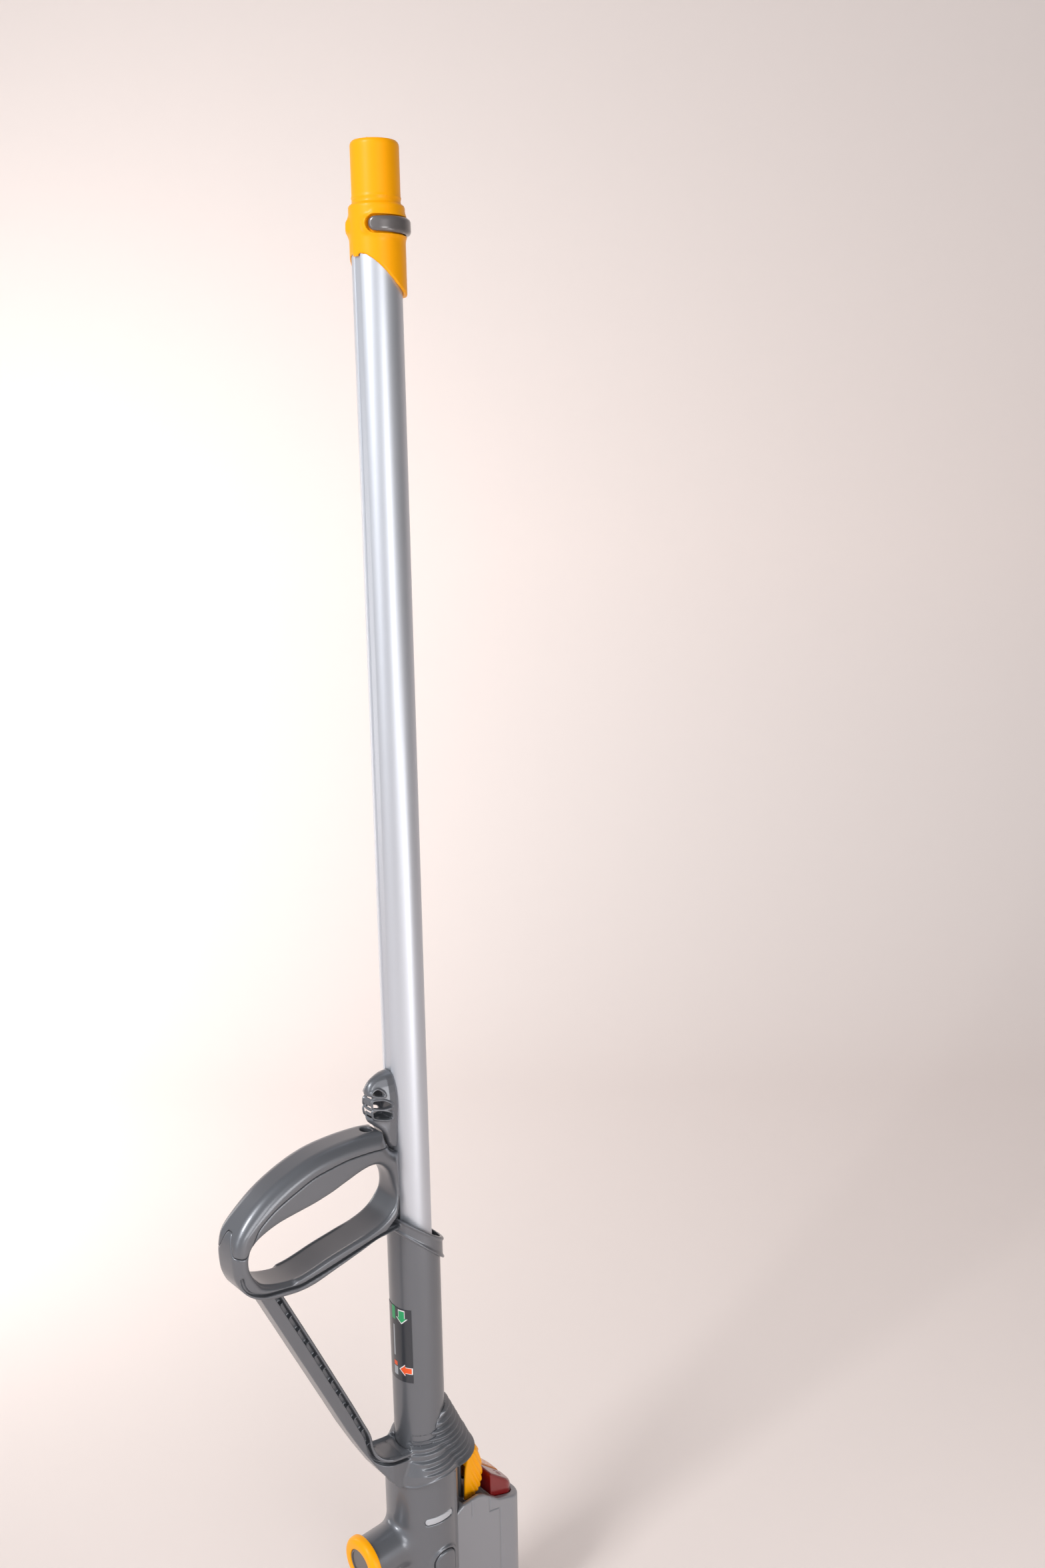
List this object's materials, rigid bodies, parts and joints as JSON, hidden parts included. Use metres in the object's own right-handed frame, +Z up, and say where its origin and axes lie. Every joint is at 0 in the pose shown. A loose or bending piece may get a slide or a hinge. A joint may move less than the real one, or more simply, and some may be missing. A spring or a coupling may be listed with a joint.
{
  "type": "telescopic vacuum wand with handle and dock",
  "caption": "Telescopic cleaning wand with loop handle, release catch, tool spigot and slanted collar, standing in a docking column with side port, release lever and push buttons.",
  "frame": {"origin": "on the wand tube's axis, at the underside of the base flange", "axes": "+Z up along the wand, -X towards the hand loop, +X towards the release lever and buttons"},
  "size_m": [0.2882, 0.092, 1.3182],
  "materials": {
    "grey_plastic": "metallic grey moulded plastic, satin gloss",
    "light_grey_plastic": "lighter grey moulded plastic, satin",
    "warm_grey_plastic": "glossy warm grey plastic",
    "yellow_plastic": "semi-gloss yellow plastic",
    "anodised_aluminium": "satin anodised",
    "black_plastic": "moulded",
    "red_plastic": "translucent dark red",
    "amber_plastic": "translucent amber",
    "spring_steel": "drawn wire and ground pins",
    "rubber": "moulded seal",
    "label_film": "printed film",
    "window_plastic": "translucent white"
  },
  "bodies": {
    "dock": {"base_flange": "grey_plastic", "dock_column": "grey_plastic", "duct_liner": "black_plastic", "tube_socket": "black_plastic", "socket_seal": "rubber", "indicator_window": "window_plastic", "hose_latch_spring": "spring_steel", "switch_housing": "light_grey_plastic", "switch_shelf": "black_plastic", "switch_module": "black_plastic", "power_button_spring": "spring_steel", "brush_button_spring": "spring_steel", "lever_pin": "spring_steel", "lever_spring": "spring_steel", "port_cap": "black_plastic", "port_seal": "rubber"},
    "collar": {"port_collar": "yellow_plastic"},
    "hose_latch": {"hose_latch_button": "grey_plastic"},
    "lever": {"release_lever": "yellow_plastic"},
    "power_key": {"power_button": "red_plastic"},
    "brush_key": {"brush_button": "amber_plastic"},
    "handle": {"outer_tube": "grey_plastic", "handle_frame": "grey_plastic", "grip_cover": "grey_plastic", "grip_screw": "spring_steel", "groove_key": "black_plastic", "brace_strut": "grey_plastic", "lower_cuff": "grey_plastic", "tube_label": "label_film", "guide_bush": "black_plastic", "catch_pin": "spring_steel", "catch_spring": "spring_steel"},
    "catch": {"wand_catch": "grey_plastic"},
    "wand": {"wand_tube": "anodised_aluminium", "wand_foot_ring": "black_plastic", "tool_cuff": "yellow_plastic", "tool_release_spring": "spring_steel"},
    "tool_key": {"tool_release_button": "warm_grey_plastic"}
  },
  "joints": [
    {"name": "handle_lift", "type": "slide", "parent": "dock", "child": "handle", "axis": [0, 0, 1], "range_m": [0, 0.12]},
    {"name": "wand_slide", "type": "slide", "parent": "handle", "child": "wand", "axis": [0, 0, 1], "range_m": [-0.6, 0], "stiffness_N_per_m": 4, "springref_m": 1.6},
    {"name": "catch_hinge", "type": "hinge", "parent": "handle", "child": "catch", "pos_m": [-0.023, 0, 0.5536], "axis": [0, -1, 0], "range_deg": [0, 3.5], "stiffness_Nm_per_rad": 0.3, "springref_deg": -5.73},
    {"name": "tool_release_press", "type": "slide", "parent": "wand", "child": "tool_key", "axis": [-1, 0, 0], "range_m": [0, 0.0015], "stiffness_N_per_m": 200, "springref_m": -0.001, "deforming": ["tool_release_spring"]},
    {"name": "lever_hinge", "type": "hinge", "parent": "dock", "child": "lever", "pos_m": [0.0465, 0, 0.186], "axis": [0, 1, 0], "range_deg": [0, 6], "stiffness_Nm_per_rad": 0.3, "springref_deg": -5.73, "deforming": ["lever_spring"]},
    {"name": "power_press", "type": "slide", "parent": "dock", "child": "power_key", "axis": [0, 0, -1], "range_m": [0, 0.0025], "stiffness_N_per_m": 200, "springref_m": -0.002, "deforming": ["power_button_spring"]},
    {"name": "brush_press", "type": "slide", "parent": "dock", "child": "brush_key", "axis": [0, 0, -1], "range_m": [0, 0.0025], "stiffness_N_per_m": 200, "springref_m": -0.002, "deforming": ["brush_button_spring"]},
    {"name": "hose_latch_press", "type": "slide", "parent": "dock", "child": "hose_latch", "axis": [0.0349, 0.9994, 0], "range_m": [0, 0.002], "stiffness_N_per_m": 200, "springref_m": -0.001, "deforming": ["hose_latch_spring"]},
    {"name": "collar_twist", "type": "hinge", "parent": "dock", "child": "collar", "pos_m": [-0.0665, 0, 0.16], "axis": [-1, 0, 0], "range_deg": [0, 60]}
  ]
}
